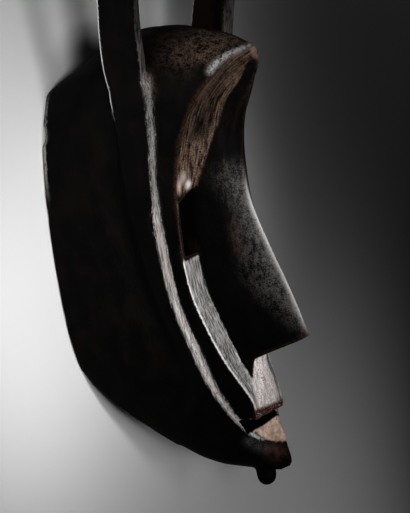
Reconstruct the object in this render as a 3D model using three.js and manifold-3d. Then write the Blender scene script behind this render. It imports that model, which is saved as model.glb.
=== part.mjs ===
// Kore mask, carved from one block of wood, lying on the flat rim of its back.
// Millimetres. +X is across the face, +Y runs from the chin to the horn tips, +Z is the way the face
// looks. The origin is in the middle of the mask's footprint, on the surface that it lies on.

import * as THREE from 'three';
import { mergeVertices } from 'three/addons/utils/BufferGeometryUtils.js';
import Module from 'manifold-3d';

const manifold = await Module();
manifold.setup();

// Driving sizes. Heights along Y are counted from a line across the brow, and moved at the end.
const HORN_TIP_Y = 228;
const PEG_END_Y = -309;
const MIDDLE_Y = (HORN_TIP_Y + PEG_END_Y) / 2;
const RIBS_PER_STATION = 4;
const RIM_CHAMFER = 1;
const BAND_GROOVE = 1.2;
const FLANK_BULGE = 3;
const CROWN_BULGE = 6;
const BROW_BULGE = 3.5;
const BROW_HOLLOW = 4;
const FACE_WALL = 13;
const HOLLOW_DEPTH = 90;
const HOLLOW_SIDE = 76;
const HOLLOW_TOP_Y = 15;
const HOLLOW_BOTTOM_Y = -225;
const MOUTH = { topY: -246.4, cornerY: -258.2, middleY: -249.4, halfWidth: 24, floor: 107, front: 148 };
const PEG = { z: 111.4, radius: 9.3, endRadius: 8, rootY: -280, sides: 20 };
const HORN_TOE_IN = THREE.MathUtils.degToRad(7);
const HORN_CHAMFER = 1.6;
const HORN_BACK_CHAMFER = 3;
const HORN_STEPS = 20;
const EXTRA_INWARD = 0.15;
const RIM_NOTCH = { x: -79.9, y: 12, z: -2, radius: 13, long: 1.1 };

const v = (x, y, z) => new THREE.Vector3(x, y, z);
const mix = (a, b, share) => a.clone().lerp(b, share);
const curve = (points) => new THREE.CatmullRomCurve3(points.map((p) => v(...p)), false, 'catmullrom', 0.5);
const at = (line, station) => line.getPoint(station / (line.points.length - 1));

// Stations of one half of the mask, from the crown round the side of the face to the chin:
// 0 crown, 1 crown shoulder, 2 inside the horn, 3 horn root, 4 brow end, 5 upper lid, 6 lower lid,
// 7 cheek, 8 low cheek, 9 nose tip, 10 upper lip, 11 mouth corner, 12 chin side, 13 chin.
const NOSE_TIP = 9;
const MOUTH_CORNER = 11;
const CHIN = 13;
const RIB_STATIONS = Array.from({ length: CHIN * RIBS_PER_STATION + 1 }, (_, i) => i / RIBS_PER_STATION);

// The back rim, straight down to the jaw corner, then rising along the jaw to the chin.
const rim = curve([
  [0, 49.5, 0], [27, 45, 0], [52.5, 41.8, 0], [64.6, 25.9, 0], [74.5, 0.5, 0], [82, -37, 0], [85.5, -80, 0],
  [86.5, -118, 0], [84.8, -155, 0], [77.3, -186.5, 0], [61, -223.3, 19], [44, -249.5, 37.5], [23, -276, 61],
  [0, -288, 70],
]);

// Where the raised side band leaves the flank, and the back edge of the band's flat side.
const bandFoot = curve([
  [0, 77.5, 60], [31, 72.3, 60], [57, 57, 62], [64.5, 42, 70], [65.5, 5.5, 70.3], [66.5, -34.4, 64],
  [65, -72.2, 64.4], [61.5, -109, 66], [57, -142.6, 70.5], [47, -195.8, 80], [41, -223, 86], [34, -252, 92],
  [24, -280, 98], [0, -295.6, 127],
]);
const bandEdge = curve([
  [0, 79, 72], [31, 73.5, 72], [57, 58, 72], [70.3, 42, 73.3], [69.5, 5.4, 73], [70.5, -34.4, 72.5],
  [69, -72.2, 73.9], [65, -109, 75], [59.5, -142.6, 78], [48.5, -194.8, 84.5], [41.5, -221.4, 91],
  [33.5, -249, 99], [22, -276, 111], [0, -291, 136],
]);

// The narrow front face of the band, which runs on as the rim of the chin.
const ridgeOuter = curve([
  [0, 78.7, 85], [30, 73.7, 86], [54, 60, 88], [67, 42, 102.7], [66.5, 5.4, 99.6], [67.5, -34.3, 95.3],
  [66.5, -72.2, 90.4], [63, -109, 88.5], [57.5, -142.6, 88.3], [46.5, -193.8, 94.8], [39.5, -220.4, 100.5],
  [31, -246, 111.5], [17, -267.5, 122], [0, -279, 139.4],
]);
const ridgeInner = curve([
  [0, 76.5, 98], [28, 71.5, 98], [46, 62, 100], [54, 40, 103.7], [54.5, 4.3, 101.1], [55.5, -34.2, 94.4],
  [54.5, -74, 91.4], [51, -109.7, 89.4], [46.5, -144, 89.6], [35.5, -192.5, 96.2], [28.5, -219.4, 99.8],
  [22, -246, 110.5], [12, -265.5, 126.5], [0, -271, 137.2],
]);

// The front edge of the raised face: brow, outer edge of the eye, cheek and upper lip.
const faceEdge = curve([
  [0, 56.5, 171.5], [16, 53, 160.5], [30, 43.5, 151], [41.5, 29.4, 138.8], [46, 4, 121.5], [48, -33, 107.8],
  [49.5, -70.4, 103.3], [48.5, -106.7, 100.6], [43.5, -141, 101], [31.5, -190, 109.7], [20.8, -230, 124.4],
  [19.6, -245.8, 125.8], [10, -246, 125.8], [0, -246.3, 125.8],
]);

// The upper edge of the lower lip, from the mouth corner to the middle.
const lowerLip = curve([[20, -257, 118.5], [11, -253.4, 125.8], [0, -249.2, 131.7]]);

// Nose: its root beside the cheek, the shoulder where its flat side turns, and its front line.
const noseRoot = curve([
  [0, 56.5, 171.5], [3.5, 45, 164], [7, 30, 153.3], [9.8, 16.8, 141], [13.2, 3.2, 134.6], [21, -27, 119.5],
  [26, -62, 104], [26, -100, 100], [22.5, -141, 102], [13.5, -197, 114],
]);
const noseShoulder = curve([
  [0, 56.5, 171.5], [3, 45, 167], [5, 30, 159], [8, 16, 150], [11, 3, 142.5], [15, -27, 133],
  [16, -62, 130.5], [16, -100, 130], [14, -141, 136], [6, -186.6, 160.2],
]);
const noseFront = curve([
  [0, 56.5, 171.5], [0, 45, 171.5], [0, 29, 164], [0, 15, 156.5], [0, 2, 150], [0, -26, 142.4],
  [0, -64, 141.4], [0, -99, 150.8], [0, -137, 163.8], [0, -181, 177],
]);

// Upper lip, from under the nose to the mouth: the foot of its side, its side edge and its middle.
const lipFoot = curve([[13.3, -198.8, 114.2], [13.6, -213, 122.4], [15, -244, 125.8]]);
const lipEdge = curve([[8.8, -198.5, 125.2], [12.6, -213, 123.6], [12, -244, 126]]);
const lipMiddle = curve([[0, -198.5, 125.6], [0, -213, 126], [0, -243, 126.8]]);

// Eye hole seen from the front, wider beside the nose than at the cheek.
const EYE = [[45.5, -58], [25, -48], [25, -103], [44.5, -101.5]];

// Wall thickness of the hollow at each station, as the y of a curve.
const wallLine = curve([13, 12, 12, 11, 11, 11, 11, 11, 11, 11.5, 13, 16, 22, 26].map((t, i) => [i, t, 0]));

// Middle line of a horn, and its thickness and front-to-back size at the same points.
const hornLine = curve([
  [62.1, 5, 85.6], [62.3, 24, 86.3], [62.9, 42, 86], [63.8, 60, 86.9], [67.8, 84, 91], [72.8, 112, 98.1],
  [79.9, 150, 107.2], [86.2, 190, 116.3], [92.3, HORN_TIP_Y, 123.8],
]);
const hornSize = curve([
  [10, 25, 0], [10.8, 27.4, 0], [11.6, 31.6, 0], [12, 35, 0], [11.6, 34.6, 0], [9.8, 34.5, 0], [9.4, 33.3, 0],
  [9, 30.5, 0], [8, 26, 0],
]);

// How much thicker the mask's left horn is than its right one, at the same points, as the y of a curve.
const leftHornExtra = curve([0, 0, 1.5, 4, 4.5, 4.5, 4, 2, 0].map((t, i) => [i, t, 0]));

// Moves a point towards the long axis of the mask, as the inside of a wall lies from its outside.
function inset(point, distance) {
  const axisY = THREE.MathUtils.clamp(point.y, -215, 5);
  const away = v(point.x, point.y - axisY, 0).normalize();
  return point.clone().addScaledVector(away, -distance);
}

function rimAt(station) {
  const point = at(rim, station);
  point.z = Math.max(0, point.z);
  return point;
}

// One rib of the outside, from the back rim round to the front edge of the face.
function outsideRib(station) {
  const rimPoint = rimAt(station);
  const flankStart = rimPoint.clone().add(v(0, 0, RIM_CHAMFER * 1.6));
  const foot = at(bandFoot, station);
  const ridge = at(ridgeInner, station);
  const edge = at(faceEdge, station);
  const rib = [inset(rimPoint, RIM_CHAMFER)];
  const flankBulge = FLANK_BULGE * Math.min(1, station / 4) + CROWN_BULGE * Math.max(0, 1 - station / 2.5);
  for (const share of [0, 0.25, 0.5, 0.75, 1]) {
    rib.push(inset(mix(flankStart, foot, share), -flankBulge * 4 * share * (1 - share)));
  }
  rib.push(at(bandEdge, station), at(ridgeOuter, station), ridge);
  const lipShare = THREE.MathUtils.clamp(station - MOUTH_CORNER + 1, 0, 1);
  const groove = BAND_GROOVE * THREE.MathUtils.clamp(station - 3, 0, 1);
  const wallFoot = mix(inset(ridge, groove), at(lowerLip, Math.max(0, station - MOUTH_CORNER)), lipShare);
  rib.push(wallFoot);
  const browBulge = BROW_BULGE * Math.max(0, 1 - station / 5);
  for (const share of [0.3, 0.6, 0.9]) {
    const bulge = browBulge * 4 * share * (1 - share);
    rib.push(inset(mix(wallFoot, edge, share), -bulge).add(v(0, 0, bulge)));
  }
  rib.push(edge);
  return rib;
}

// One row of the face, from its front edge to the middle line. It has as many points as the lower
// edge of the upper lip, which ends the face at the mouth.
function faceRow(station) {
  const onNose = station <= NOSE_TIP;
  const below = Math.max(0, (station - NOSE_TIP - 0.25) / (MOUTH_CORNER - NOSE_TIP - 0.25)) * 2;
  const edge = at(faceEdge, station);
  const root = onNose ? at(noseRoot, station) : at(lipFoot, below);
  const shoulder = onNose ? at(noseShoulder, station) : at(lipEdge, below);
  const front = onNose ? at(noseFront, station) : at(lipMiddle, below);
  const hollow = BROW_HOLLOW * Math.sin(Math.PI * Math.min(1, station / 6.5));
  const row = [edge];
  for (const share of [0.25, 0.5, 0.75]) {
    row.push(mix(edge, root, share).add(v(0, 0, -hollow * 4 * share * (1 - share))));
  }
  const rounding = onNose ? 0.12 * (front.z - shoulder.z) : 0;
  row.push(root, mix(root, shoulder, 0.5), shoulder);
  row.push(mix(shoulder, front, 0.5).add(v(0, 0, rounding)), front);
  return row;
}

// One rib of the hollow, from behind the rim over the inside of the wall to its deepest line.
function hollowRib(station) {
  const wall = at(wallLine, station).y;
  const rimPoint = rimAt(station);
  const foot = at(bandFoot, station);
  foot.z = Math.min(foot.z, HOLLOW_SIDE);
  const ridge = at(ridgeInner, station);
  ridge.z = Math.min(ridge.z - FACE_WALL, HOLLOW_DEPTH - 3);
  const edge = inset(rimPoint, wall);
  const deepY = THREE.MathUtils.clamp(ridge.y, HOLLOW_BOTTOM_Y, HOLLOW_TOP_Y);
  return [
    edge.clone().add(v(0, 0, -30)), edge, inset(mix(rimPoint, foot, 0.5), wall - 1), inset(foot, wall + 2),
    inset(ridge, wall + 1), v(0, deepY, HOLLOW_DEPTH),
  ];
}

// Triangles of one half of a body, each with its mirror image in the other half.
class MirroredBody {
  constructor() {
    this.positions = [];
  }

  triangle(a, b, c) {
    for (const p of [a, b, c]) this.positions.push(p.x, p.y, p.z);
    for (const p of [a, c, b]) this.positions.push(-p.x, p.y, p.z);
  }

  // Each cell between two rows is split along its shorter diagonal.
  grid(rows) {
    for (let i = 0; i + 1 < rows.length; i += 1) {
      for (let j = 0; j + 1 < rows[i].length; j += 1) {
        const [a, b, c, d] = [rows[i][j], rows[i + 1][j], rows[i + 1][j + 1], rows[i][j + 1]];
        if (a.distanceTo(c) > b.distanceTo(d)) {
          this.triangle(a, b, d);
          this.triangle(b, c, d);
        } else {
          this.triangle(a, b, c);
          this.triangle(a, c, d);
        }
      }
    }
  }

  // A grid of ribs that is closed at the back by a face between the two rims.
  closedGrid(ribs) {
    this.grid(ribs.map((rib) => rib.slice().reverse()));
    this.grid(ribs.map((rib) => [rib[0], v(0, rib[0].y, rib[0].z)]));
  }
}

function fromPositions(positions) {
  const shape = new THREE.BufferGeometry();
  shape.setAttribute('position', new THREE.Float32BufferAttribute(positions, 3));
  return shape;
}

// Turns a closed geometry into a solid that can be cut and joined.
function solid(geometry) {
  const bare = geometry.clone();
  bare.deleteAttribute('normal');
  bare.deleteAttribute('uv');
  const merged = mergeVertices(bare, 1e-4);
  const corners = merged.index.array;
  const triVerts = [];
  for (let i = 0; i < corners.length; i += 3) {
    const [a, b, c] = corners.slice(i, i + 3);
    if (a !== b && b !== c && c !== a) triVerts.push(a, b, c);
  }
  const mesh = new manifold.Mesh({
    numProp: 3,
    vertProperties: new Float32Array(merged.attributes.position.array),
    triVerts: new Uint32Array(triVerts),
  });
  return new manifold.Manifold(mesh);
}

function carvedBlock() {
  const body = new MirroredBody();
  const ribs = RIB_STATIONS.map(outsideRib);
  body.closedGrid(ribs);
  const rows = RIB_STATIONS.filter((station) => station <= MOUTH_CORNER).map(faceRow);
  rows[rows.length - 1] = ribs.slice(MOUTH_CORNER * RIBS_PER_STATION).map((rib) => rib[rib.length - 1]);
  body.grid(rows.map((row) => row.slice().reverse()));
  return solid(fromPositions(body.positions));
}

function faceHollow() {
  const body = new MirroredBody();
  body.closedGrid(RIB_STATIONS.map(hollowRib));
  return solid(fromPositions(body.positions));
}

// A straight-sided block from an outline seen from the front and two depths.
function prism(outline, low, high) {
  const shape = new THREE.Shape(outline.map(([x, y]) => new THREE.Vector2(x, y)));
  const geometry = new THREE.ExtrudeGeometry(shape, { depth: high - low, bevelEnabled: false });
  return solid(geometry.translate(0, 0, low));
}

// The eight corners of a plank's section.
function plankRing(middle, thickness, depth) {
  const across = v(Math.cos(HORN_TOE_IN), 0, Math.sin(HORN_TOE_IN));
  const forward = v(-Math.sin(HORN_TOE_IN), 0, Math.cos(HORN_TOE_IN));
  const [a, f] = [thickness / 2, depth / 2];
  const [c, b] = [HORN_CHAMFER, HORN_BACK_CHAMFER];
  const corners = [
    [a, f - c], [a - c, f], [c - a, f], [-a, f - c], [-a, c - f], [c - a, -f], [a - b, -f], [a, b - f],
  ];
  return corners.map(([x, z]) => middle.clone().addScaledVector(across, x).addScaledVector(forward, z));
}

// A flat plank horn, from inside the temple to its rounded tip. side is 1 for the mask's left, or -1.
function horn(side) {
  const rings = [];
  for (let i = 0; i <= HORN_STEPS; i += 1) {
    const station = (i / HORN_STEPS) * (hornLine.points.length - 1);
    const size = at(hornSize, station);
    const middle = at(hornLine, station);
    const extra = side > 0 ? at(leftHornExtra, station).y : 0;
    middle.x -= extra * EXTRA_INWARD;
    const toTip = (HORN_STEPS - i) / HORN_STEPS;
    const tipRound = Math.sqrt(Math.min(1, 0.25 + toTip * 9));
    rings.push(plankRing(middle, (size.x + extra) * (0.5 + tipRound / 2), size.y * tipRound));
  }
  const positions = [];
  const face = (a, b, c) => {
    for (const p of side > 0 ? [a, c, b] : [a, b, c]) positions.push(side * p.x, p.y, p.z);
  };
  const corners = rings[0].length;
  for (let i = 0; i < HORN_STEPS; i += 1) {
    for (let j = 0; j < corners; j += 1) {
      const k = (j + 1) % corners;
      face(rings[i][j], rings[i + 1][k], rings[i + 1][j]);
      face(rings[i][j], rings[i][k], rings[i + 1][k]);
    }
  }
  for (let j = 1; j + 1 < corners; j += 1) {
    face(rings[0][0], rings[0][j + 1], rings[0][j]);
    face(rings[HORN_STEPS][0], rings[HORN_STEPS][j], rings[HORN_STEPS][j + 1]);
  }
  return solid(fromPositions(positions));
}

// The short round-ended peg that hangs below the chin.
function chinPeg() {
  const reach = PEG.rootY - PEG_END_Y;
  const profile = [new THREE.Vector2(0, 0), new THREE.Vector2(PEG.radius, 0)];
  for (let i = 0; i <= 5; i += 1) {
    const angle = (i / 5) * (Math.PI / 2);
    const height = reach - PEG.endRadius + PEG.endRadius * Math.sin(angle);
    profile.push(new THREE.Vector2(i === 5 ? 0 : PEG.endRadius * Math.cos(angle), height));
  }
  const geometry = new THREE.LatheGeometry(profile, PEG.sides);
  geometry.rotateX(Math.PI).translate(0, PEG.rootY, PEG.z);
  return solid(geometry);
}

// An old nick in the back rim below its top corner.
function rimNotch() {
  const geometry = new THREE.SphereGeometry(RIM_NOTCH.radius, 20, 12);
  geometry.scale(1, RIM_NOTCH.long, 1).translate(RIM_NOTCH.x, RIM_NOTCH.y, RIM_NOTCH.z);
  return solid(geometry);
}

const { topY, cornerY, middleY, halfWidth, floor, front } = MOUTH;
const mouthOutline = [
  [-halfWidth, topY], [-halfWidth, cornerY], [0, middleY], [halfWidth, cornerY], [halfWidth, topY],
];
const eyes = [1, -1].map((side) => prism(EYE.map(([x, y]) => [side * x, y]), HOLLOW_DEPTH - 24, 143));
const carved = carvedBlock()
  .add(horn(1))
  .add(horn(-1))
  .add(chinPeg())
  .subtract(faceHollow())
  .subtract(eyes[0])
  .subtract(eyes[1])
  .subtract(prism(mouthOutline, floor, front))
  .subtract(rimNotch());

const cut = carved.getMesh();
const shape = new THREE.BufferGeometry();
shape.setAttribute('position', new THREE.BufferAttribute(cut.vertProperties, 3));
shape.setIndex(new THREE.BufferAttribute(cut.triVerts, 1));
shape.translate(0, -MIDDLE_Y, 0);

const wood = new THREE.MeshStandardMaterial({ color: 0x1f1813, roughness: 0.42, metalness: 0 });
const mask = new THREE.Mesh(shape, wood);
mask.name = 'mask';

const part = new THREE.Group();
part.add(mask);

export default part;
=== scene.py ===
"""Kore mask: the carved wood's surface, floor, light and camera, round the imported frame. Metres."""
import math

import bmesh
import bpy
import numpy as np
from mathutils import Matrix, Vector
from mathutils.bvhtree import BVHTree
from mathutils.kdtree import KDTree


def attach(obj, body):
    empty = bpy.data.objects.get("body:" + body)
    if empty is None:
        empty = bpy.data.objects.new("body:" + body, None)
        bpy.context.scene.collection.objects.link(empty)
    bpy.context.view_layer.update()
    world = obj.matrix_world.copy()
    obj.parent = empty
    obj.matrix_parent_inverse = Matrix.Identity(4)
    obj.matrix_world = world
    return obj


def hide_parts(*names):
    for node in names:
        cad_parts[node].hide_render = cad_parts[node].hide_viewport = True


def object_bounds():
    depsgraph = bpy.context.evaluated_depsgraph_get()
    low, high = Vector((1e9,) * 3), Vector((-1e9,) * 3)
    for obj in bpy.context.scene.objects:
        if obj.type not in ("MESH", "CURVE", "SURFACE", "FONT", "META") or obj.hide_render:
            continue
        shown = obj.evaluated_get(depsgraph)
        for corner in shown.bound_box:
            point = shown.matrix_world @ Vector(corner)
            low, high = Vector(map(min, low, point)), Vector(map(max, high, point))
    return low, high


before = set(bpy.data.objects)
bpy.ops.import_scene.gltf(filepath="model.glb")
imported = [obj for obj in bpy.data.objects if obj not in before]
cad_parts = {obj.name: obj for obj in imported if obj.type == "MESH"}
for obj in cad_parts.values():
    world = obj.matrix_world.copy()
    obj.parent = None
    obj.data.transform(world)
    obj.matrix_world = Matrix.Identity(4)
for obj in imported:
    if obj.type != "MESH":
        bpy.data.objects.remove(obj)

CAD_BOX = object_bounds()
SCENE = bpy.context.scene
MM = 0.001

# ---------------------------------------------------------------- camera
# The photograph looks down on the lying mask from the -X side, with the horns towards its top edge.
VIEW_RIGHT = Vector((0.55017, -0.16705, 0.81817))
VIEW_UP = Vector((0.25868, 0.96568, 0.02322))
VIEW_BACK = Vector((-0.79398, 0.19887, 0.57450))
VIEW_TARGET = Vector((-0.02538, -0.06654, 0.10572))
VIEW_DISTANCE = 2.3
SENSOR_WIDTH = 36.0
FOCAL_PIXELS = 2852.0
PHOTO_HEIGHT = 513.0
CLIP_NEAR, CLIP_FAR = 0.05, 50.0


def make_camera():
    data = bpy.data.cameras.new("camera")
    data.sensor_fit = "AUTO"
    data.sensor_width = SENSOR_WIDTH
    data.lens = data.sensor_width * FOCAL_PIXELS / PHOTO_HEIGHT
    camera = bpy.data.objects.new("camera", data)
    SCENE.collection.objects.link(camera)
    turn = Matrix((VIEW_RIGHT, VIEW_UP, VIEW_BACK)).transposed()
    camera.matrix_world = Matrix.Translation(VIEW_TARGET + VIEW_BACK * VIEW_DISTANCE) @ turn.to_4x4()
    data.clip_start, data.clip_end = CLIP_NEAR, CLIP_FAR
    SCENE.camera = camera


# ---------------------------------------------------------------- floor and light
FLOOR_HALF = 6.0
FLOOR_DROP = 0.0004     # keeps the floor and the back rim out of one plane
FLOOR_GREYS = (0.50, 0.53)
FLOOR_ROUGHNESS = 0.85

# name, place, target, size, watts, spread in degrees
LIGHTS = [
    ("left_soft", (-0.50, 0.05, 0.90), (-0.34, 0.02, 0.0), (0.50, 0.70), 0.45, 34),
    ("left_low", (-0.90, 0.18, 0.80), (-0.28, 0.04, 0.0), (0.50, 0.60), 0.56, 22),
    ("right_soft", (0.60, 0.10, 1.00), (0.50, 0.06, 0.0), (0.40, 0.50), 0.020, 30),
    ("left_edge", (-0.75, 0.20, 0.12), (-0.09, 0.17, 0.10), (0.30, 0.10), 0.04, 20),
    ("key", (-0.16, -0.10, 1.05), (-0.05, -0.07, 0.12), (0.25, 0.40), 0.115, 13),
    ("low_fill", (0.10, -0.80, 0.90), (0.06, -0.42, 0.0), (0.60, 0.40), 0.22, 24),
]
WORLD_COLOUR = (0.9, 0.95, 1.0, 1.0)
WORLD_STRENGTH = 0.012


def new_material(name):
    material = bpy.data.materials.new(name)
    material.use_nodes = True
    tree = material.node_tree
    tree.nodes.clear()
    return material, tree


def node(tree, kind, inputs=None, **settings):
    """A new node, with each input linked where it is given a socket and set where it is given a value."""
    made = tree.nodes.new(kind)
    for name, value in settings.items():
        setattr(made, name, value)
    for name, value in (inputs or {}).items():
        socket = made.inputs[name]
        if isinstance(value, bpy.types.NodeSocket):
            tree.links.new(value, socket)
        else:
            socket.default_value = value
    return made


def make_floor():
    material, tree = new_material("pale_floor")
    mottle = node(tree, "ShaderNodeTexNoise", {"Scale": 3.0, "Detail": 4.0})
    tone = node(tree, "ShaderNodeMapRange", {
        "Value": mottle.outputs["Fac"], "To Min": FLOOR_GREYS[0], "To Max": FLOOR_GREYS[1]})
    shader = node(tree, "ShaderNodeBsdfPrincipled", {
        "Base Color": tone.outputs["Result"], "Roughness": FLOOR_ROUGHNESS})
    node(tree, "ShaderNodeOutputMaterial", {"Surface": shader.outputs[0]})
    mesh = bpy.data.meshes.new("floor")
    half = FLOOR_HALF
    corners = [(-half, -half, 0), (half, -half, 0), (half, half, 0), (-half, half, 0)]
    mesh.from_pydata(corners, [], [(0, 1, 2, 3)])
    mesh.materials.append(material)
    floor = bpy.data.objects.new("floor", mesh)
    floor.location.z = -FLOOR_DROP
    SCENE.collection.objects.link(floor)


def soft_light(name, place, target, size, power, spread):
    data = bpy.data.lights.new(name, "AREA")
    data.shape = "RECTANGLE"
    data.size, data.size_y = size
    data.energy = power
    data.spread = math.radians(spread)
    light = bpy.data.objects.new(name, data)
    light.location = place
    light.rotation_euler = (Vector(target) - Vector(place)).to_track_quat("-Z", "Y").to_euler()
    SCENE.collection.objects.link(light)


def make_lights():
    for light in LIGHTS:
        soft_light(*light)
    world = bpy.data.worlds.new("studio")
    world.use_nodes = True
    background = world.node_tree.nodes["Background"]
    background.inputs["Color"].default_value = WORLD_COLOUR
    background.inputs["Strength"].default_value = WORLD_STRENGTH
    SCENE.world = world
    SCENE.view_settings.view_transform = "Standard"
    SCENE.view_settings.look = "High Contrast"


# ---------------------------------------------------------------- feature lines of the carving
# The solid's own lines in millimetres, for its +X half. Their Y counts from a line across the brow:
# the frame's Y is their Y less MIDDLE_Y.
MIDDLE_Y = -40.5
LINES = {
    "ridge_outer": [
        (67, 42, 102.7), (66.5, 5.4, 99.6), (67.5, -34.3, 95.3), (66.5, -72.2, 90.4), (63, -109, 88.5),
        (57.5, -142.6, 88.3), (46.5, -193.8, 94.8), (39.5, -220.4, 100.5), (31, -246, 111.5),
        (17, -267.5, 122), (0, -279, 139.4),
    ],
    "ridge_inner": [
        (54, 40, 103.7), (54.5, 4.3, 101.1), (55.5, -34.2, 94.4), (54.5, -74, 91.4), (51, -109.7, 89.4),
        (46.5, -144, 89.6), (35.5, -192.5, 96.2), (28.5, -219.4, 99.8), (22, -246, 110.5),
        (12, -265.5, 126.5), (0, -271, 137.2),
    ],
    "face_edge": [
        (0, 56.5, 171.5), (16, 53, 160.5), (30, 43.5, 151), (41.5, 29.4, 138.8), (46, 4, 121.5),
        (48, -33, 107.8), (49.5, -70.4, 103.3), (48.5, -106.7, 100.6), (43.5, -141, 101),
        (31.5, -190, 109.7), (20.8, -230, 124.4), (19.6, -245.8, 125.8),
    ],
    "nose_root": [
        (0, 56.5, 171.5), (3.5, 45, 164), (7, 30, 153.3), (9.8, 16.8, 141), (13.2, 3.2, 134.6),
        (21, -27, 119.5), (26, -62, 104), (26, -100, 100), (22.5, -141, 102), (13.5, -197, 114),
    ],
    "nose_front": [
        (0, 56.5, 171.5), (0, 45, 171.5), (0, 29, 164), (0, 15, 156.5), (0, 2, 150), (0, -26, 142.4),
        (0, -64, 141.4), (0, -99, 150.8), (0, -137, 163.8), (0, -181, 177),
    ],
    "nose_shoulder": [
        (0, 56.5, 171.5), (3, 45, 167), (5, 30, 159), (8, 16, 150), (11, 3, 142.5), (15, -27, 133),
        (16, -62, 130.5), (16, -100, 130), (14, -141, 136), (6, -186.6, 160.2),
    ],
}


def smooth_line(points, steps=12):
    """Points along a Catmull-Rom curve through the points, in metres in the frame."""
    p = np.array(points, float)
    p = np.vstack([2 * p[0] - p[1], p, 2 * p[-1] - p[-2]])
    made = []
    for i in range(1, len(p) - 2):
        for t in np.arange(steps) / steps:
            a, b, c, d = p[i - 1], p[i], p[i + 1], p[i + 2]
            made.append(0.5 * (2 * b + (c - a) * t + (2 * a - 5 * b + 4 * c - d) * t * t
                               + (3 * b - a - 3 * c + d) * t ** 3))
    made.append(p[-2])
    made = np.array(made)
    made[:, 1] -= MIDDLE_Y
    return made * MM


CURVES = {name: smooth_line(points) for name, points in LINES.items()}


def line_at(name, y, axis):
    """The x (axis 0) or z (axis 2) of a feature line at the heights y."""
    line = CURVES[name][np.argsort(CURVES[name][:, 1])]
    return np.interp(y, line[:, 1], line[:, axis])


# ---------------------------------------------------------------- places of single marks
# Millimetres in the frame, on the -X half that the photograph shows. The other half mirrors them.
# a painted highlight along the brow's rounded upper edge
BROW_HIGHLIGHT_LINE = [
    (-2.5, 98.6, 167.4), (-6, 98.4, 164.6), (-10.1, 97.6, 161.6), (-14.8, 96.4, 158.6), (-19, 95, 155.4),
    (-23.1, 92.9, 152.9), (-26.9, 90.6, 150.2), (-30, 88, 148), (-32.6, 85.3, 146.3),
]
CHIN_SHEEN = [(-22.5, -224.5, 115.5), (-15, -231.5, 121.5), (-6, -235, 128)]
# the eyelid's boss and its lip: raised in the relief, and painted with highlights
EYELID = (-40.0, 2.5, 107.7)
EYELID_LIP = (-34.0, -4.8, 107.4)
LID_CORNER = (-44.5, -4, 106)
EYE_FOOT = (-25, -58, 96)
DARK_OVAL = (-36.9, 85.8, 139.7)
DOME_WEAR = (-13, 107, 138)
HORN_ROOT_WEAR = (-55, 84, 103)
NOSE_PATCH = (-14.4, -55, 131.8)
BROW_TIP = (-0.8, 93, 170.5)
NOSE_TIP = (-0.7, -139.4, 173.6)
PLATE_CORNER = (-15.5, -202.5, 125.2)
CHIN_WEAR = (-7.3, -237.7, 130.6)
CHIN_TIP = (0, -245, 137)

# Y and Z along a border: where the bare lower lip ends, and the line on the nose's side above which sheen is
# painted on, and below which it stays black in shade.
LIP_EDGE = [
    (-217.6, 119.8), (-220.5, 121.7), (-222.6, 123.4), (-224.8, 125.8), (-226.7, 128), (-228.5, 130.8),
    (-230.5, 136.1),
]
NOSE_SHADE = [
    (8, 122), (-5, 124), (-18, 128), (-30, 134.2), (-40, 133.3), (-65, 133), (-90, 134), (-108, 144),
    (-126, 159), (-141, 173),
]

# Where marks begin and end along Y in the frame, and how soft both ends are. Metres.
NIBBLE_SPAN = (-0.040, -0.008, 0.006)
BRIDGE_SPAN = (0.018, 0.088, 0.012)
LIP_NOTCH_SPAN = (-0.222, -0.205, 0.001)
EYE_SIDE_SPAN = (-0.064, -0.010, 0.003)
PLATE_SPAN = (-0.2065, -0.150, 0.0008)
PLATE_FOOT_SPAN = (-0.212, -0.1995, 0.001)
CHEEK_EDGE_HIGHLIGHT_SPAN = (-0.200, -0.0645, 0.002)
RIM_SHEEN_SPAN = (0.010, 0.075, 0.025)
NOSE_SIDE_SPAN = (-0.1425, 0.004, 0.012)
CREST_SPAN = (-0.138, -0.016, 0.020)
CREST_SHEEN_SPAN = (-0.132, -0.015, 0.020)


def ramp(low, high, value):
    """0 below low, 1 above high and smooth between them."""
    t = np.clip((value - low) / (high - low), 0, 1)
    return t * t * (3 - 2 * t)


def band(value, low, high, soft):
    """1 between low and high, fading to 0 over soft on either side."""
    return ramp(low - soft, low + soft, value) * (1 - ramp(high - soft, high + soft, value))


def near_point(points, centre, radius):
    """1 at a point in millimetres and 0 from radius in metres on, which may differ per axis."""
    away = (points - np.array(centre) * MM) / np.broadcast_to(radius, 3)
    return 1 - ramp(0, 1, np.linalg.norm(away, axis=1))


def near_line(points, line, radius):
    """A soft bead along a line: 1 on it, falling off like a bell of the radius."""
    ends = np.array(line, float) * MM
    best = np.full(len(points), 1e9)
    for a, b in zip(ends[:-1], ends[1:]):
        along = b - a
        share = np.clip((points - a) @ along / (along @ along), 0, 1)
        best = np.minimum(best, ((points - a - share[:, None] * along) ** 2).sum(axis=1))
    return np.exp(-best / (2 * radius ** 2))


def near_curve(x, y, z, name, radius):
    """A bell of the radius round a feature line, at the points' own heights."""
    return np.exp(-((x - line_at(name, y, 0)) ** 2 + (z - line_at(name, y, 2)) ** 2) / (2 * radius ** 2))


# ---------------------------------------------------------------- noise on points
HASH_X, HASH_Y, HASH_Z, HASH_SEED = 73856093, 19349663, 83492791, 2654435761
HASH_ROUNDS = ((15, 2246822519), (13, 3266489917))
WORD = 0xFFFFFFFF
LAST_BITS = 0xFFFFFF


def lattice(cell, seed):
    """A fixed number from -1 to 1 for each whole-numbered cell."""
    n = cell[..., 0] * HASH_X ^ cell[..., 1] * HASH_Y ^ cell[..., 2] * HASH_Z ^ seed * HASH_SEED
    n = (n & WORD).astype(np.uint64)
    for shift, factor in HASH_ROUNDS:
        n = (n ^ (n >> np.uint64(shift))) * np.uint64(factor) & np.uint64(WORD)
    return ((n ^ (n >> np.uint64(16))) & np.uint64(LAST_BITS)).astype(float) / (LAST_BITS // 2) - 1


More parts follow.
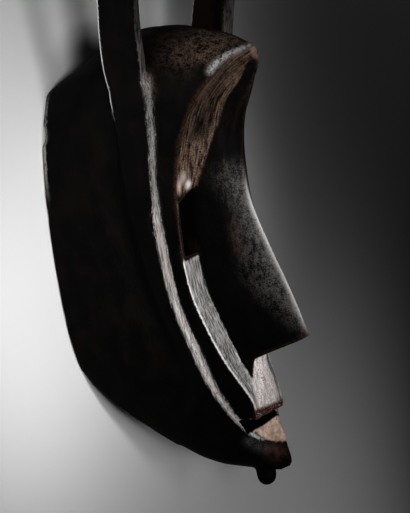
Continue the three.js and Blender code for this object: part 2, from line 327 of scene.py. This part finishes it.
def noise(points, size, seed):
    """Smooth value noise from -1 to 1 with features about size metres long, along X, Y and Z."""
    p = points / np.broadcast_to(size, 3)
    base = np.floor(p).astype(np.int64)
    f = p - base
    f = f * f * (3 - 2 * f)
    total = 0
    for i in (0, 1):
        for j in (0, 1):
            for k in (0, 1):
                share = ((f[:, 0] if i else 1 - f[:, 0]) * (f[:, 1] if j else 1 - f[:, 1])
                         * (f[:, 2] if k else 1 - f[:, 2]))
                total = total + share * lattice(base + np.array([i, j, k]), seed)
    return total


# ---------------------------------------------------------------- mesh tools
SHRINK, GROW = 0.6, -0.62     # a smoothing step, and the step that gives its shrinking back


def mesh_points(mesh):
    co = np.zeros(len(mesh.vertices) * 3, np.float32)
    mesh.vertices.foreach_get("co", co)
    return co.reshape(-1, 3).astype(float)


def mesh_normals(mesh):
    n = np.zeros(len(mesh.vertices) * 3, np.float32)
    mesh.vertices.foreach_get("normal", n)
    return n.reshape(-1, 3).astype(float)


def set_points(mesh, points):
    mesh.vertices.foreach_set("co", points.astype(np.float32).ravel())
    mesh.update()


def edge_pairs(mesh):
    pairs = np.zeros(len(mesh.edges) * 2, np.int32)
    mesh.edges.foreach_get("vertices", pairs)
    return pairs.reshape(-1, 2)


def applied(obj):
    """The object's mesh with its modifiers applied, as its only mesh."""
    graph = bpy.context.evaluated_depsgraph_get()
    mesh = bpy.data.meshes.new_from_object(obj.evaluated_get(graph))
    obj.modifiers.clear()
    obj.data = mesh
    return mesh


def point_tree(points):
    tree = KDTree(len(points))
    for i, p in enumerate(points):
        tree.insert(p, i)
    tree.balance()
    return tree


def sharp_edge_points(mesh, angle=28.0, step=0.001):
    """Points along the solid's real edges, where two faces meet at more than the angle in degrees."""
    work = bmesh.new()
    work.from_mesh(mesh)
    bmesh.ops.remove_doubles(work, verts=work.verts, dist=1e-6)
    points = []
    for edge in work.edges:
        if len(edge.link_faces) == 2 and edge.calc_face_angle() > math.radians(angle):
            a, b = edge.verts[0].co, edge.verts[1].co
            count = max(1, int((b - a).length / step))
            points += [a.lerp(b, (i + 0.5) / count) for i in range(count)]
    work.free()
    return points


def nearest_distance(points, targets, limit):
    """How far each point is from the nearest target, up to the limit."""
    tree = point_tree(targets)
    found = np.full(len(points), limit)
    for i, p in enumerate(points):
        d = tree.find(p)[2]
        if d < limit:
            found[i] = d
    return found


def relax(points, pairs, share, rounds, keep_size=True):
    """Moves each point towards the mean of its neighbours by its share, with little shrinking."""
    count = np.bincount(pairs.ravel(), minlength=len(points)).astype(float)[:, None]
    for turn in range(rounds):
        mean = np.zeros_like(points)
        for axis in range(3):
            mean[:, axis] = (np.bincount(pairs[:, 0], points[pairs[:, 1], axis], len(points))
                             + np.bincount(pairs[:, 1], points[pairs[:, 0], axis], len(points)))
        step = SHRINK if turn % 2 == 0 or not keep_size else GROW
        points = points + (mean / count - points) * (share * step)[:, None]
    return points


def hold_edges(points, sharp, reach=0.0018):
    """Moves the skin's nearest points onto the sharp edges, which its grid cuts off."""
    tree = point_tree(points)
    nearest = {}
    for p in sharp:
        i, d = tree.find(p)[1:]
        if d < nearest.get(i, (reach, None))[0]:
            nearest[i] = (d, p)
    for i, (d, p) in nearest.items():
        points[i] = p
    return points


def regain(points, pairs, solid, rounds=24):
    """Puts back what smoothing took off the whole form, but not the solid's flat facets."""
    back = np.array([solid.find_nearest(Vector(p))[0] for p in points]) - points
    return points + relax(back, pairs, np.ones(len(points)), rounds, keep_size=False)


# ---------------------------------------------------------------- the carved surface
VOXEL = 0.0013
MAX_TRIANGLES = 190000
PEG_ROOT_Y = -0.246
CHIN_EDGE_Y = -0.228
CHIN_EDGE_Z = 0.1           # under it the chin's edges are as sharp as the solid's
EDGE_FADE = (0.0012, 0.0050)     # from a sharp edge, where smoothing begins and where it is full
STEP_ROUNDS = 4             # smooth off the voxels' steps
FACE_ROUNDS = 90            # smooth the faces between the sharp edges
LAST_ROUNDS = 2             # take the hardness off the edges
CHIN_ROUNDS = 50            # round the worn chin
BALL_ROUNDS = 14            # smooth a copy, which edges and corners stand proud of

# Relief of the carving in metres, out of the surface or into it.
TOOL_MARKS, FINE_MARKS = 0.00040, 0.00010
RIM_CUTS = 0.0006
NIBBLES, NIBBLE_SPREAD = 0.0014, 0.0022
BAND_EDGE_WEAR, BAND_EDGE_RADIUS = 0.0005, 0.0030
BRIDGE_CUT, BRIDGE_RADIUS = 0.0024, 0.0028
EYELID_RISE, EYELID_RADIUS = 0.0016, 0.0075
EYELID_LIP_RISE, EYELID_LIP_RADIUS = 0.0010, 0.0042
OVAL_DIP, OVAL_RADIUS = 0.0010, 0.011
CHIN_RISE, CHIN_REACH = 0.0016, (0.030, 0.014, 0.014)


def carve_relief(points, normals):
    """Tool marks, worn edges and old nicks of the carving, as moves along the surface's normals."""
    x, y, z = np.abs(points[:, 0]), points[:, 1], points[:, 2]
    depth = TOOL_MARKS * noise(points, (0.012, 0.040, 0.016), seed=3)
    depth += FINE_MARKS * noise(points, (0.004, 0.014, 0.005), seed=4)
    # the rim's outer edge was trimmed with short knife cuts
    rim = 1 - ramp(0.004, 0.022, z)
    depth -= RIM_CUTS * rim * ramp(-0.2, 0.9, noise(points, (0.020, 0.014, 0.010), seed=5))
    # the band's front face is nibbled along its outer edge beside the eye, on the photograph's side
    near_edge = near_curve(x, y, z, "ridge_outer", BAND_EDGE_RADIUS) * (y < 0.09)
    nibble = near_edge * band(y, *NIBBLE_SPAN) * (points[:, 0] < 0)
    depth -= nibble * (NIBBLES + NIBBLE_SPREAD * noise(points, (0.0035, 0.0030, 0.0035), seed=6))
    depth -= near_edge * BAND_EDGE_WEAR * ramp(0.2, 0.9, noise(points, (0.006, 0.011, 0.006), seed=7))
    # the bridge of the nose narrows towards the brow
    depth -= BRIDGE_CUT * near_curve(x, y, z, "nose_shoulder", BRIDGE_RADIUS) * band(y, *BRIDGE_SPAN)
    # the eyelid is a small boss with a lip below it, and the chin is full
    half = np.column_stack([-x, y, z])
    depth += EYELID_RISE * near_point(half, EYELID, EYELID_RADIUS)
    depth += EYELID_LIP_RISE * near_point(half, EYELID_LIP, EYELID_LIP_RADIUS)
    depth -= OVAL_DIP * near_point(half, DARK_OVAL, OVAL_RADIUS)
    depth += CHIN_RISE * near_point(half, CHIN_TIP, CHIN_REACH)
    return np.clip(points + normals * depth[:, None], CAD_BOX[0], CAD_BOX[1])


def carve_mask():
    """The solid's form as one fine skin: smooth between its sharp edges, with the carving's relief."""
    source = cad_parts["mask"]
    obj = bpy.data.objects.new("mask_wood", source.data.copy())
    SCENE.collection.objects.link(obj)
    obj.data.materials.clear()
    sharp = [p for p in sharp_edge_points(obj.data) if p[1] > CHIN_EDGE_Y or p[2] < CHIN_EDGE_Z]
    solid = BVHTree.FromObject(source, bpy.context.evaluated_depsgraph_get())
    modifier = obj.modifiers.new("skin", "REMESH")
    modifier.mode = "VOXEL"
    modifier.voxel_size = VOXEL
    mesh = applied(obj)
    points, pairs = mesh_points(mesh), edge_pairs(mesh)
    everywhere = np.ones(len(points))
    points = hold_edges(relax(points, pairs, everywhere, STEP_ROUNDS), sharp)
    away = ramp(*EDGE_FADE, nearest_distance(points, sharp, 0.01))
    away *= ramp(PEG_ROOT_Y, PEG_ROOT_Y + 0.008, points[:, 1])
    points = relax(points, pairs, away, FACE_ROUNDS, keep_size=False)
    points = relax(regain(points, pairs, solid), pairs, everywhere, LAST_ROUNDS)
    chin = ramp(-CHIN_EDGE_Y - 0.002, -CHIN_EDGE_Y + 0.004, -points[:, 1]) * away
    chin = chin * ramp(0.104, 0.110, points[:, 2])
    points = relax(points, pairs, chin, CHIN_ROUNDS, keep_size=False)
    set_points(mesh, points)
    set_points(mesh, carve_relief(points, mesh_normals(mesh)))
    return obj


def finish_mesh(obj):
    triangles = sum(len(p.vertices) - 2 for p in obj.data.polygons)
    modifier = obj.modifiers.new("thin", "DECIMATE")
    modifier.ratio = min(1.0, MAX_TRIANGLES / triangles)
    mesh = applied(obj)
    mesh.polygons.foreach_set("use_smooth", [True] * len(mesh.polygons))


# ---------------------------------------------------------------- where the wood is worn, and where sheen, highlights and shade are painted on
SOFT = 0.0008               # the usual softness of a zone's border
HOLLOW_TOP_Z = 0.1
HOLLOW_MIDDLE_Y, HOLLOW_MIDDLE_Z = (-0.15, 0.06), 0.03
SKIN_GAP = 0.001            # a ray starts this far off the surface


def faces_hollow(obj, points, normals):
    """1 for the points of the hollow's inside: under the face, and turned towards its middle."""
    tree = BVHTree.FromObject(obj, bpy.context.evaluated_depsgraph_get())
    zero = 0 * points[:, 0]
    middle = np.column_stack([zero, np.clip(points[:, 1], *HOLLOW_MIDDLE_Y), zero + HOLLOW_MIDDLE_Z])
    inward = np.einsum("ij,ij->i", normals, middle - points) > 0
    made = np.zeros(len(points))
    up = Vector((0, 0, 1))
    for i in np.nonzero(inward & (points[:, 2] < HOLLOW_TOP_Z))[0]:
        start = Vector(points[i] + normals[i] * SKIN_GAP)
        made[i] = tree.ray_cast(start, up, 0.3)[0] is not None
    return made


def zones(obj):
    """Where the wood is worn, brown or raw, and where sheen, highlights and shade are painted on, as numbers
    from 0 to 1 on the mesh's points.
    """
    mesh = obj.data
    points, normals, pairs = mesh_points(mesh), mesh_normals(mesh), edge_pairs(mesh)
    x, y, z = np.abs(points[:, 0]), points[:, 1], points[:, 2]
    half = np.column_stack([-x, y, z])
    up = normals[:, 2]
    inside = faces_hollow(obj, points, normals)
    outer, inner = line_at("ridge_outer", y, 0), line_at("ridge_inner", y, 0)
    front = line_at("ridge_inner", y, 2)
    edge_x, edge_z = line_at("face_edge", y, 0), line_at("face_edge", y, 2)
    root = line_at("nose_root", y, 0)

    # the band's front face, scratched grey wear with painted sheen: soft-edged beside the eye, crisp and
    # brighter along the cheek, with a painted highlight down its middle
    low = 1 - ramp(-0.060, 0.010, y)
    across_ridge = np.clip((outer - x) / (outer - inner), -0.5, 1.5)
    body = ramp(-0.25, 0.45, across_ridge) * (1 - ramp(0.50 + 0.22 * low, 1.20, across_ridge))
    ridge = body * ramp(front - 0.006, front - 0.002, z) * ramp(0.30, 0.70, up)
    ridge *= ramp(-0.229, -0.220, y) * (1 - ramp(0.080, 0.105, y)) * (0.70 + 0.30 * low)
    ridge *= 1 - band(y, *LIP_NOTCH_SPAN) * (x < inner - 0.001)
    # a painted highlight down the middle of the band's front face
    band_highlight = ridge * np.exp(-((across_ridge - 0.50) / 0.22) ** 2) * (1 - 0.75 * ramp(-0.16, -0.05, y))

    # the face: cheek strip, eye's side and mouth plate in grey wear with painted sheen, a painted glint on
    # the strip's torn top, the plate's foot in painted shade over reddish wood, and a painted highlight down
    # the cheek's edge
    on_face = ramp(edge_z - 0.007, edge_z - 0.002, z) * ramp(0.25, 0.6, up)
    on_face = on_face * (x < edge_x + SOFT) * (1 - inside)
    beside_nose = ramp(root - SOFT, root + SOFT, x)
    strip = on_face * beside_nose * (1 - ramp(-0.0655, -0.0645, y)) * ramp(-0.2075, -0.2060, y)
    # a painted glint along the strip's torn top edge
    strip_top = strip * ramp(-0.0675, -0.0655, y)
    eye_side = on_face * band(y, *EYE_SIDE_SPAN) * ramp(edge_x - 0.0030, edge_x - 0.0015, x)
    plate = on_face * band(y, *PLATE_SPAN) * ramp(0.70, 0.92, up) * (z < 0.133)
    plate *= 1 - ramp(0.0130, 0.0175, x)
    # the plate's lower edge: painted shade over reddish wood, with tan flecks
    foot = band(y + 0.1 * points[:, 0], *PLATE_FOOT_SPAN) * (x < 0.021) * (up > 0.35) * (z < 0.133)
    foot *= ramp(0.117, 0.119, z) * (y > -0.2085)
    # a painted highlight down the cheek's outer edge
    cheek_edge_highlight = on_face * beside_nose * band(edge_x - x, -0.0006, 0.0012, 0.0006)
    cheek_edge_highlight = cheek_edge_highlight * band(y, *CHEEK_EDGE_HIGHLIGHT_SPAN)

    # the horns' fronts with painted sheen, a painted rim-light highlight on the bevel behind the near horn,
    # and a line of painted sheen along the rim at the nick
    horn_front_sheen = ramp(0.070, 0.085, y) * ramp(0.80, 0.93, up) * (x > 0.052)
    horn_front_sheen = horn_front_sheen * (1 - 0.5 * ramp(0.11, 0.15, y))
    # a painted rim-light highlight on the bevel behind the near horn, which is also less rough
    rim_lit_bevel = ramp(0.055, 0.075, y) * band(-up, 0.38, 0.80, 0.10) * (x > 0.035)
    rim_lit_bevel = rim_lit_bevel * ramp(0.45, 0.65, -normals[:, 0]) * (z > 0.062)
    # a line of painted sheen along the back rim by the nick
    rim_sheen_line = (z < 0.0035) * (x > 0.03) * band(y, *RIM_SHEEN_SPAN) * (1 - inside)

    # the nose: painted sheen with brown specks on its side above the unlit black foot, a painted highlight
    # along the crest, and painted sheen round the crest
    shade_y, shade_z = np.array(NOSE_SHADE[::-1]).T * MM
    above = z - np.interp(y, shade_y, shade_z)
    nose = (x < root + SOFT) * (1 - inside) * band(y, *NOSE_SIDE_SPAN) * ramp(-0.5, -0.1, up)
    nose = nose * ramp(-0.012, 0.014, above)
    off_crest = x ** 2 + (z - line_at("nose_front", y, 2)) ** 2
    # a painted highlight along the nose's crest
    crest = np.exp(-off_crest / (2 * 0.0020 ** 2)) * band(y, *CREST_SPAN)
    # painted sheen round the nose's crest
    crest_sheen = np.exp(-off_crest / (2 * 0.0075 ** 2)) * band(y, *CREST_SHEEN_SPAN)

    # bare brown wood in the brow's hollow, most at its two ends and along its borders
    share = np.clip((edge_x - x) / np.maximum(edge_x - root, 0.002), 0, 1)
    ends = 1 - ramp(0.010, 0.040, y) + 0.55 * ramp(0.045, 0.080, y)
    borders = 0.45 * band(share, 0.04, 0.34, 0.12) + 0.5 * band(share, 0.86, 0.99, 0.05)
    bare = on_face * beside_nose * ramp(-0.014, -0.006, y) * np.clip(0.30 + 0.75 * ends + borders, 0, 1)
    bare = bare * ramp(0.0, 0.0016, edge_x - x)

    # wear of the dome behind the brow, round the dark oval
    oval = near_point(half, DARK_OVAL, (0.012, 0.010, 0.012))
    dome = near_point(half, DOME_WEAR, (0.060, 0.046, 0.060)) * (1 - inside) * (1 - oval)
    dome = dome * ramp(0.072, 0.096, y)
    dome = np.maximum(dome, near_point(half, HORN_ROOT_WEAR, (0.008, 0.022, 0.008)) * 0.6)

    # the bare lower lip under the mouth's gap, and the same raw wood at two worn corners
    lip_z, lip_y = np.array(sorted((b, a) for a, b in LIP_EDGE)).T * MM
    lip_end = np.interp(z, lip_z, lip_y)
    lip = ramp(0.05, 0.30, up) * ramp(lip_end - 0.0006, lip_end + 0.0008, y)
    lip = lip * (y < -0.205) * (x < inner + SOFT) * ramp(0.110, 0.114, z)
    ridge *= 1 - lip
    lip += 0.8 * near_point(half, BROW_TIP, (0.004, 0.008, 0.006))
    lip += 0.5 * near_point(half, LID_CORNER, (0.0045, 0.010, 0.006))

    # reddish wear at the tips
    red = near_point(half, BROW_TIP, (0.006, 0.010, 0.009)) + near_point(half, NOSE_TIP, 0.007)
    red += 0.6 * near_point(half, PLATE_CORNER, (0.030, 0.006, 0.006)) * (up > 0.2)
    red += 0.75 * near_point(half, CHIN_WEAR, (0.020, 0.016, 0.018)) + 0.4 * near_point(half, EYE_FOOT, 0.009)

    # rubbed edges: where the surface stands proud of a smoothed copy of itself
    ball = relax(points.copy(), pairs, np.ones(len(points)), BALL_ROUNDS, keep_size=False)
    bulge = np.einsum("ij,ij->i", points - ball, normals)
    edge = ramp(0.00012, 0.00060, bulge) * ramp(0.082, 0.088, z) * ramp(PEG_ROOT_Y, PEG_ROOT_Y + 0.006, y)
    edge *= (1 - np.minimum(1, 2 * crest_sheen)) * (1 - cheek_edge_highlight) * (x < inner - 0.001)
    edge *= (1 - ramp(0.090, 0.100, y)) * (1 - inside)

    # the distance across the carving's length, which its scratches follow
    on_cheek = x < edge_x + 0.0005
    across = np.where(on_cheek, line_at("face_edge", np.maximum(y, -0.178), 0) - x, outer - x)

    # painted highlights on the eyelid's boss and on its lip
    eyelid = near_point(half, EYELID, (0.0065, 0.0085, 0.008))
    eyelid_lip = near_point(half, EYELID_LIP, (0.0050, 0.0068, 0.007))
    values = {
        # grey wear with painted sheen on the band, the cheek strip, the eye's side and the mouth plate
        "sheen": np.clip(ridge + 0.9 * strip + plate + 0.25 * eye_side, 0, 1),
        "upper": ridge * (1 - low),
        "pink": np.clip(ridge * low + plate * (1 - ramp(-0.200, -0.180, y)), 0, 1),
        "painted_glints": np.clip(0.55 * eyelid + 1.1 * eyelid_lip + 0.5 * strip_top, 0, 1),
        "brow_highlight": near_line(half, BROW_HIGHLIGHT_LINE, 0.0019),
        "chin": near_line(half, CHIN_SHEEN, 0.0032) * (up > 0.1),
        "patch": near_point(half, NOSE_PATCH, (0.009, 0.024, 0.010)),
        "bare": np.clip(bare, 0, 1), "lip": np.clip(lip, 0, 1), "red": np.clip(red, 0, 1),
        "band_highlight": band_highlight, "plate": plate, "foot": foot, "line": cheek_edge_highlight,
        "front": horn_front_sheen, "rim_lit_bevel": rim_lit_bevel, "rim": rim_sheen_line,
        "nose": nose, "crest": crest, "crest_sheen": crest_sheen, "dome": dome,
        "edge": edge, "inside": inside, "across": across,
    }
    for name, value in values.items():
        attribute = mesh.attributes.new(name, "FLOAT", "POINT")
        attribute.data.foreach_set("value", value.astype(np.float32))


# ---------------------------------------------------------------- wood
BLACK, WARM_BLACK = (0.0036, 0.0033, 0.0032), (0.0078, 0.0066, 0.0058)
HOLLOW_BROWN = (0.030, 0.018, 0.012)
DOME_BROWN = (0.175, 0.126, 0.102)
BARE_BROWN, BARE_TAN, BARE_DARK = (0.105, 0.072, 0.052), (0.230, 0.168, 0.134), (0.012, 0.008, 0.006)
PATCH_BROWN = (0.070, 0.042, 0.028)
# painted sheen on the nose's side, with brown specks
NOSE_SHEEN_GREY, NOSE_BROWN = (0.130, 0.124, 0.120), (0.110, 0.085, 0.074)
# painted sheen round the nose's crest, and a painted highlight along it
CREST_SHEEN_GREY, CREST_HIGHLIGHT = (0.145, 0.140, 0.137), (0.640, 0.625, 0.615)
# painted sheen on the chin, along the rim by the nick, and on the horns' fronts
CHIN_SHEEN_GREY, RIM_SHEEN_GREY, HORN_FRONT_SHEEN = (0.110, 0.108, 0.108), (0.300, 0.295, 0.290), (0.130, 0.125, 0.122)
# scratched grey wear with painted sheen, and dimmer painted sheen on the band's upper part
SCRATCH_DARK, SCRATCH_PALE = (0.060, 0.058, 0.057), (0.420, 0.408, 0.402)
UPPER_BAND = (0.125, 0.118, 0.112)
PINK, PINK_PIT = (0.360, 0.285, 0.256), (0.030, 0.018, 0.013)
# the mouth plate's grey to near white: pale wear with painted sheen
PLATE_GREY, PLATE_PAINTED_SHEEN = (0.520, 0.480, 0.460), (0.950, 0.900, 0.880)
PLATE_TAN, PLATE_PIT = (0.420, 0.310, 0.275), (0.080, 0.050, 0.040)
# the colour of the painted highlight down the band's middle
BAND_HIGHLIGHT = (0.660, 0.630, 0.615)
# painted highlights down the cheek's edge and on the bevel behind the near horn
CHEEK_EDGE_HIGHLIGHT, BEVEL_RIM_LIGHT = (0.800, 0.780, 0.770), (0.850, 0.840, 0.830)
# painted highlights on the brow's edge and on the eyelid
EDGE_BROWN, BROW_HIGHLIGHT_GREY, EYELID_HIGHLIGHT = (0.075, 0.045, 0.034), (0.470, 0.465, 0.462), (0.55, 0.52, 0.50)
LIP_TAN, LIP_PALE, LIP_PIT = (0.420, 0.300, 0.240), (0.900, 0.700, 0.600), (0.170, 0.095, 0.066)
RED_BROWN = (0.120, 0.060, 0.044)
# painted shade over reddish wood on the plate's lower edge, with tan flecks
FOOT_PAINTED_SHADE, FOOT_TAN = (0.060, 0.024, 0.018), (0.520, 0.380, 0.330)
ROUGHNESS_CHANGES = {"sheen": -0.14, "nose": -0.14, "painted_glints": -0.20, "rim_lit_bevel": -0.30, "inside": 0.20}
SPECULAR = 0.09
BUMP_STRENGTH, BUMP_DEPTH = 0.6, 0.0007


class Maths:
    """Short names for a material's nodes."""

    def __init__(self, tree):
        self.tree = tree
        self.place = node(tree, "ShaderNodeTexCoord").outputs["Object"]

    def zone(self, name):
        return node(self.tree, "ShaderNodeAttribute", attribute_name=name).outputs["Fac"]

    def noise(self, stretch, scale, detail=3.0, rough=0.5):
        """Noise from 0 to 1. scale is in features per metre, and stretch divides it along each axis."""
        place = node(self.tree, "ShaderNodeVectorMath", {0: self.place, 1: [scale / s for s in stretch]},
                     operation="MULTIPLY").outputs[0]
        return node(self.tree, "ShaderNodeTexNoise", {
            "Vector": place, "Scale": 1.0, "Detail": detail, "Roughness": rough}).outputs["Fac"]

    def scratches(self, fine, long):
        """Fine lines along the carving: noise over the distance across it and the height Y."""
        along = node(self.tree, "ShaderNodeSeparateXYZ", {0: self.place}).outputs["Y"]
        place = node(self.tree, "ShaderNodeCombineXYZ", {
            "X": self.do("MULTIPLY", self.zone("across"), fine),
            "Y": self.do("MULTIPLY", along, long)}).outputs[0]
        return node(self.tree, "ShaderNodeTexNoise", {
            "Vector": place, "Scale": 1.0, "Detail": 3.0, "Roughness": 0.6}).outputs["Fac"]

    def do(self, operation, a, b=0.0, c=0.0):
        return node(self.tree, "ShaderNodeMath", {0: a, 1: b, 2: c}, operation=operation).outputs[0]

    def mean(self, a, b):
        return self.do("MULTIPLY", self.do("ADD", a, b), 0.5)

    def add(self, total, value, factor):
        return self.do("ADD", total, self.do("MULTIPLY", value, factor))

    def ramp(self, value, low, high, out_low=0.0, out_high=1.0):
        return node(self.tree, "ShaderNodeMapRange", {
            "Value": value, "From Min": low, "From Max": high, "To Min": out_low, "To Max": out_high},
            interpolation_type="SMOOTHSTEP").outputs["Result"]

    def mix(self, share, a, b):
        made = node(self.tree, "ShaderNodeMix", data_type="RGBA")
        sockets = [s for s in made.inputs if s.name in ("Factor", "A", "B") and s.enabled]
        for socket, value in zip(sockets, (share, a, b)):
            if isinstance(value, bpy.types.NodeSocket):
                self.tree.links.new(value, socket)
            else:
                socket.default_value = value if socket.type == "VALUE" else (*value, 1.0)
        return [s for s in made.outputs if s.enabled][0]

    def zone_share(self, zone, field, low, high, strength=1.0):
        """The share of a zone, broken up by a noise field."""
        return self.do("MULTIPLY", self.zone(zone), self.ramp(field, low, high, 0.0, strength))

    def ragged(self, zone, field, reach=2.4):
        """The share of a zone, with the noise field eating into its soft borders."""
        eaten = self.do("ADD", self.zone(zone), self.do("MULTIPLY", self.do("SUBTRACT", field, 0.5), reach))
        return self.do("MULTIPLY", self.ramp(eaten, 0.15, 0.75), self.ramp(self.zone(zone), 0.0, 0.2))

    def layers(self, colour, rows):
        """The colour under rows of wear and painted light: zone, noise field, its low and high end, strength,
        colour.
        """
        for zone, field, low, high, strength, tone in rows:
            colour = self.mix(self.zone_share(zone, field, low, high, strength), colour, tone)
        return colour


def wood_material():
    """Black patina over brown wood, with one layer per zone, of wear and of painted sheen, highlights and
    shade, from the oldest to the last.
    """
    material, tree = new_material("patinated_wood")
    m = Maths(tree)
    grain = m.noise((1, 14, 1), 900, 4.0, 0.6)
    streaks = m.noise((1, 6, 1.6), 320, 4.0, 0.62)
    blotch = m.noise((1, 1.6, 1), 70, 5.0, 0.62)
    speck = m.noise((1, 1, 1), 800, 3.0, 0.6)
    patch = m.noise((1, 1.5, 1), 190, 5.0, 0.65)
    scratch = m.scratches(1500, 36)
    lines = m.scratches(600, 60)
    fleck = m.mean(lines, speck)
    mottle = m.mean(patch, speck)
    soft_grain = m.mean(patch, grain)
    fine = m.mean(speck, grain)
    fibre = m.mean(streaks, speck)

    colour = m.mix(m.ramp(blotch, 0.35, 0.7), BLACK, WARM_BLACK)
    colour = m.layers(colour, [
        ("inside", blotch, 0.20, 0.55, 1.0, HOLLOW_BROWN),
        ("dome", mottle, 0.40, 0.60, 1.0, DOME_BROWN),
        ("bare", m.mean(lines, patch), 0.36, 0.56, 1.0, BARE_BROWN),
        ("bare", fleck, 0.50, 0.60, 0.85, BARE_TAN),
        ("bare", fleck, 0.46, 0.36, 0.75, BARE_DARK),
        ("patch", streaks, 0.36, 0.62, 0.8, PATCH_BROWN),
        # painted sheen on the nose's side, with brown specks
        ("nose", mottle, 0.40, 0.62, 0.80, NOSE_SHEEN_GREY),
        ("nose", speck, 0.58, 0.70, 0.4, NOSE_BROWN),
        # painted sheen round the nose's crest
        ("crest_sheen", mottle, 0.34, 0.60, 0.75, CREST_SHEEN_GREY),
        # a painted highlight along the nose's crest
        ("crest", speck, 0.15, 0.45, 0.90, CREST_HIGHLIGHT),
        # painted sheen along the top of the chin
        ("chin", fibre, 0.35, 0.60, 1.0, CHIN_SHEEN_GREY),
        # painted sheen along the rim by the nick
        ("rim", patch, 0.30, 0.55, 1.0, RIM_SHEEN_GREY),
        # painted sheen on the horns' fronts
        ("front", m.mean(streaks, grain), 0.35, 0.60, 1.0, HORN_FRONT_SHEEN),
    ])

    # the band, the cheek strip and the mouth plate: scratched grey wear with painted sheen, palest on the
    # plate
    grey_wear_and_sheen = m.mix(m.ramp(m.mean(scratch, grain), 0.40, 0.60), SCRATCH_DARK, SCRATCH_PALE)
    # dimmer painted sheen on the band's upper part
    grey_wear_and_sheen = m.mix(m.do("MULTIPLY", m.zone("upper"), 0.85), grey_wear_and_sheen, UPPER_BAND)
    grey_wear_and_sheen = m.layers(grey_wear_and_sheen, [
        ("pink", soft_grain, 0.46, 0.58, 0.70, PINK),
        ("pink", speck, 0.60, 0.70, 0.8, PINK_PIT),
    ])
    # the mouth plate: painted sheen over pale wear, up to near white
    grey_wear_and_sheen = m.mix(m.zone("plate"), grey_wear_and_sheen, m.mix(m.ramp(soft_grain, 0.40, 0.60), PLATE_GREY, PLATE_PAINTED_SHEEN))
    grey_wear_and_sheen = m.layers(grey_wear_and_sheen, [
        ("plate", mottle, 0.50, 0.58, 0.70, PLATE_TAN),
        ("plate", speck, 0.60, 0.66, 0.85, PLATE_PIT),
        # a painted highlight down the band's middle
        ("band_highlight", fine, 0.38, 0.56, 1.0, BAND_HIGHLIGHT),
    ])
    colour = m.mix(m.ragged("sheen", fine), colour, grey_wear_and_sheen)

    raw = m.mix(m.ramp(patch, 0.3, 0.7), LIP_TAN, LIP_PALE)
    raw = m.mix(m.ramp(mottle, 0.55, 0.62, 0.0, 0.7), raw, LIP_PIT)
    colour = m.layers(colour, [
        # a painted highlight down the cheek's outer edge
        ("line", speck, 0.20, 0.45, 1.0, CHEEK_EDGE_HIGHLIGHT),
        # a painted rim-light highlight on the bevel behind the near horn
        ("rim_lit_bevel", patch, 0.05, 0.35, 1.0, BEVEL_RIM_LIGHT),
        ("edge", speck, 0.36, 0.62, 0.7, EDGE_BROWN),
        # a painted highlight along the brow's upper edge
        ("brow_highlight", fibre, 0.34, 0.56, 0.95, BROW_HIGHLIGHT_GREY),
        # painted highlights on the eyelid and on the strip's top edge
        ("painted_glints", speck, 0.10, 0.40, 1.0, EYELID_HIGHLIGHT),
        ("lip", speck, 0.10, 0.40, 1.0, raw),
        ("red", patch, 0.30, 0.60, 0.9, RED_BROWN),
        # painted shade over reddish wood on the plate's lower edge
        ("foot", speck, 0.10, 0.30, 1.0, FOOT_PAINTED_SHADE),
        ("foot", speck, 0.54, 0.62, 0.9, FOOT_TAN),
    ])

    rough = m.ramp(blotch, 0.3, 0.7, 0.50, 0.60)
    for zone, change in ROUGHNESS_CHANGES.items():
        rough = m.add(rough, m.zone(zone), change)
    height = m.do("MULTIPLY", grain, 0.6)
    height = m.add(height, speck, 0.5)
    height = m.add(height, patch, 1.0)
    height = m.add(height, scratch, m.do("MULTIPLY", m.zone("sheen"), 0.8))
    bump = node(tree, "ShaderNodeBump", {
        "Height": height, "Strength": BUMP_STRENGTH, "Distance": BUMP_DEPTH})
    shader = node(tree, "ShaderNodeBsdfPrincipled", {
        "Base Color": colour, "Roughness": rough, "Normal": bump.outputs["Normal"],
        "Specular IOR Level": SPECULAR})
    node(tree, "ShaderNodeOutputMaterial", {"Surface": shader.outputs[0]})
    return material


make_camera()
make_floor()
make_lights()
mask = carve_mask()
finish_mesh(mask)
zones(mask)
mask.data.materials.append(wood_material())
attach(mask, "root")
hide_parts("mask")
